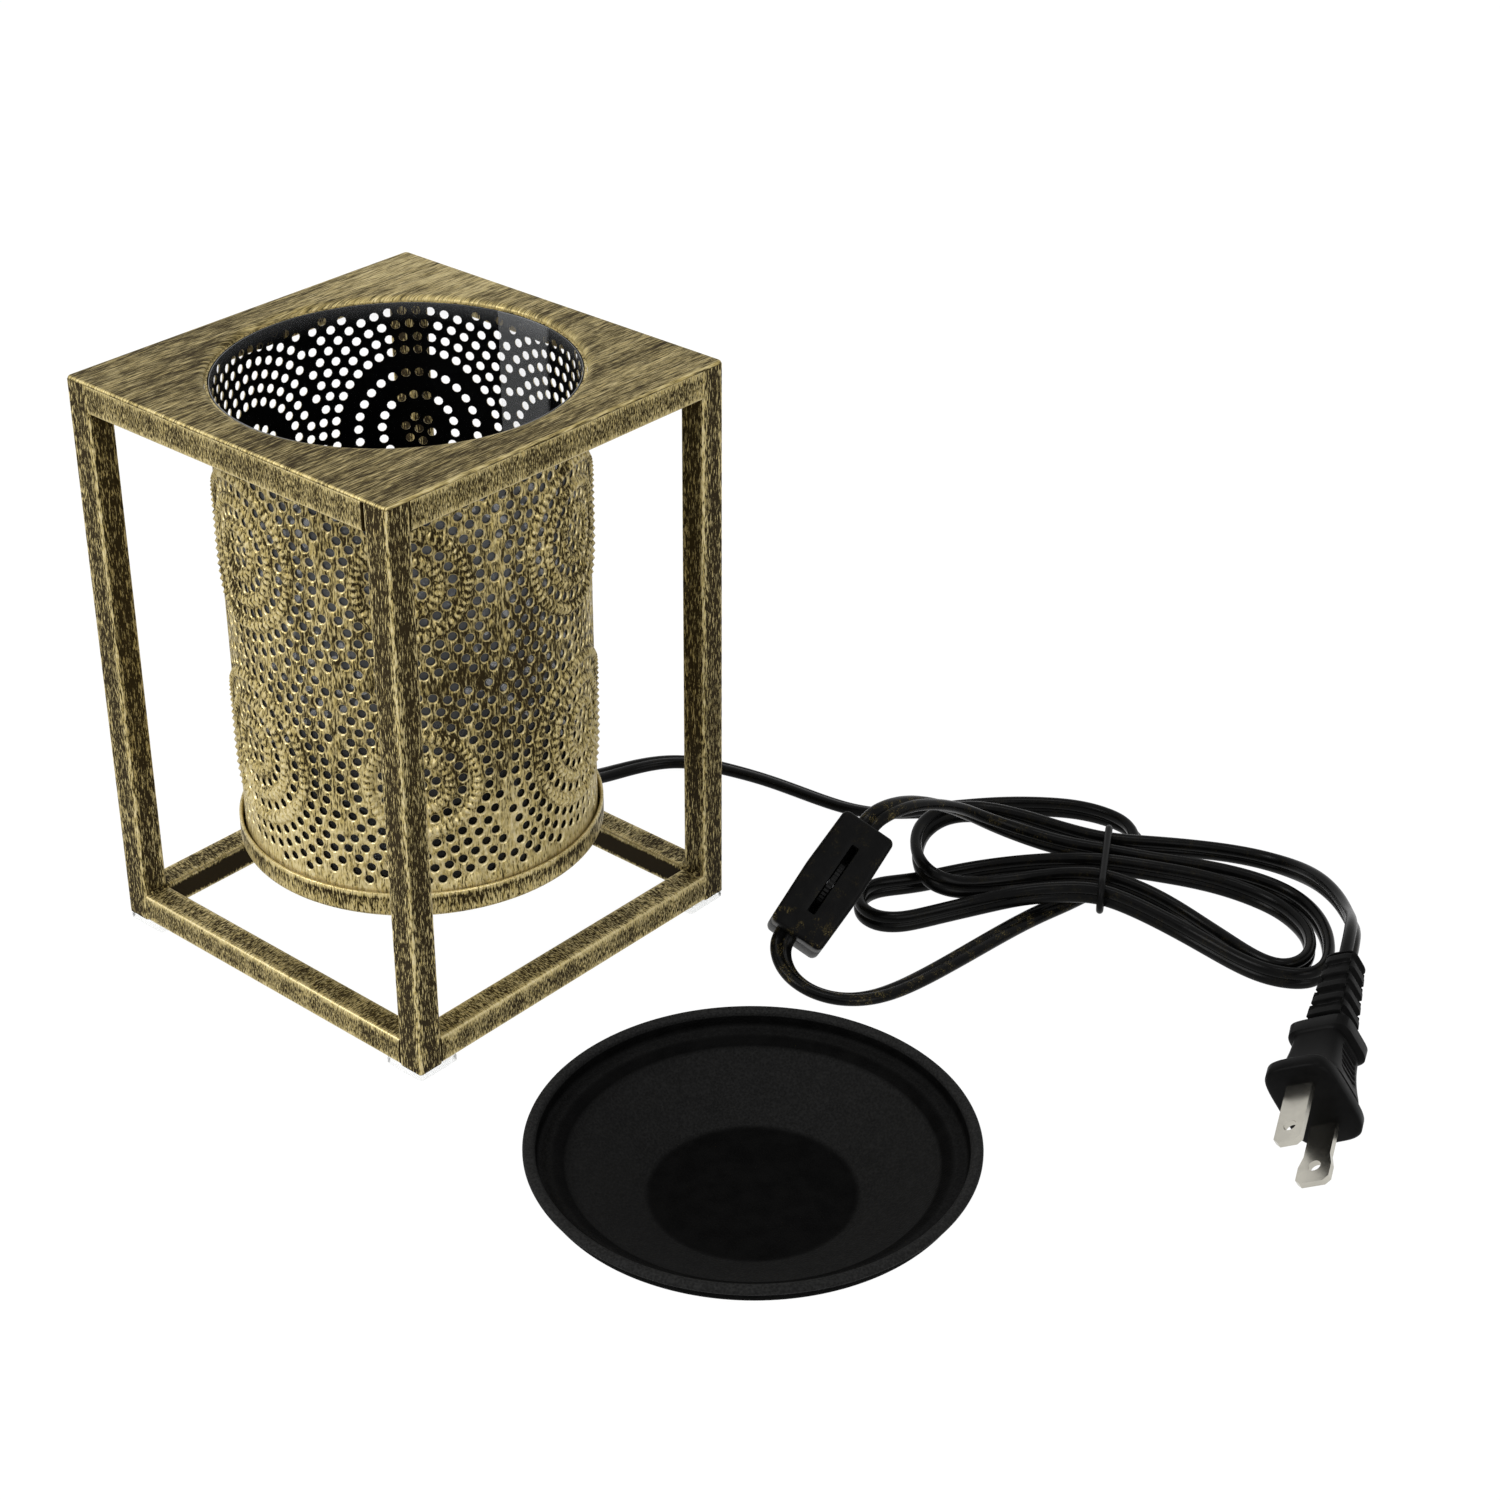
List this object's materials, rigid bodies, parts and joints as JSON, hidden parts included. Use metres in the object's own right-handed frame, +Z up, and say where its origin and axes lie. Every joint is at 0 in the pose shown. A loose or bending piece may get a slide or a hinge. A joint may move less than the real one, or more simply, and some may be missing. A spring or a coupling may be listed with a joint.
{
  "type": "electric wax warmer",
  "caption": "Square tube stand with a pierced drum shade over a reflector lamp, a loose wax dish, and a flat mains cord with a wheel dimmer and a polarised plug. The lamp melts scented wax.",
  "frame": {"origin": "centre of the stand's square footprint, on the surface that its foot pads stand on", "axes": "+Z up; X and Y along the sides of the stand; the wax dish lies towards -Y and the cord towards +X"},
  "size_m": [0.2333, 0.285, 0.1461],
  "materials": {
    "gold_steel": "antique gold dry-brushed over black",
    "clear_pad": "clear soft plastic",
    "clear_liner": "clear heat-proof sheet",
    "zinc": "zinc plated",
    "ceramic": "glazed ceramic",
    "pins": "nickel plated",
    "reflector": "coated glass reflector",
    "lens": "clear glass",
    "sleeve": "glass-fibre sleeve",
    "black_cord": "black satin plastic",
    "dimmer_black": "black moulded plastic",
    "board": "circuit board",
    "nickel": "nickel plated brass",
    "dish_black": "matte black coating"
  },
  "bodies": {
    "stand": {"post_front": "gold_steel", "post_right": "gold_steel", "post_back": "gold_steel", "post_left": "gold_steel", "rail_low_front": "gold_steel", "rail_low_right": "gold_steel", "rail_low_back": "gold_steel", "rail_low_left": "gold_steel", "rail_top_front": "gold_steel", "rail_top_right": "gold_steel", "rail_top_back": "gold_steel", "rail_top_left": "gold_steel", "top_plate": "gold_steel", "shade": "gold_steel", "shade_hangers": "gold_steel", "base_pan": "gold_steel", "pad_front": "clear_pad", "pad_right": "clear_pad", "pad_back": "clear_pad", "pad_left": "clear_pad", "shade_liner": "clear_liner", "pan_screws": "zinc", "pan_nuts": "zinc", "holder_bracket": "zinc", "bracket_screws": "zinc", "bracket_nuts": "zinc", "holder_screws": "zinc", "holder_nuts": "zinc", "dimmer_axle": "zinc", "dimmer_screws": "zinc", "lamp_holder": "ceramic", "lead_wires": "sleeve", "cord_lamp_side": "black_cord", "cord_plug_side": "black_cord", "cord_bushing": "black_cord", "cord_tie": "black_cord", "plug_body": "black_cord", "dimmer_cover": "dimmer_black", "dimmer_base": "dimmer_black", "dimmer_board": "board", "blade_narrow": "nickel", "blade_wide": "nickel"},
    "lamp": {"lamp_base": "ceramic", "lamp_pins": "pins", "lamp_reflector": "reflector", "lamp_lens": "lens"},
    "wheel": {"dimmer_wheel": "dimmer_black"},
    "dish": {"wax_dish": "dish_black"}
  },
  "joints": [
    {"name": "lamp_twist", "type": "hinge", "parent": "stand", "child": "lamp", "pos_m": [0, 0, 0.0521], "axis": [0, 0, 1], "range_deg": [-20, 0]},
    {"name": "wheel_turn", "type": "hinge", "parent": "stand", "child": "wheel", "pos_m": [0.05195, -0.08769, 0.01875], "axis": [-0.2939, 0.8383, 0.4592], "range_deg": [-135, 135]},
    {"name": "dish_lift", "type": "slide", "parent": "stand", "child": "dish", "axis": [0, 0, 1], "range_m": [0, 0.2]}
  ]
}
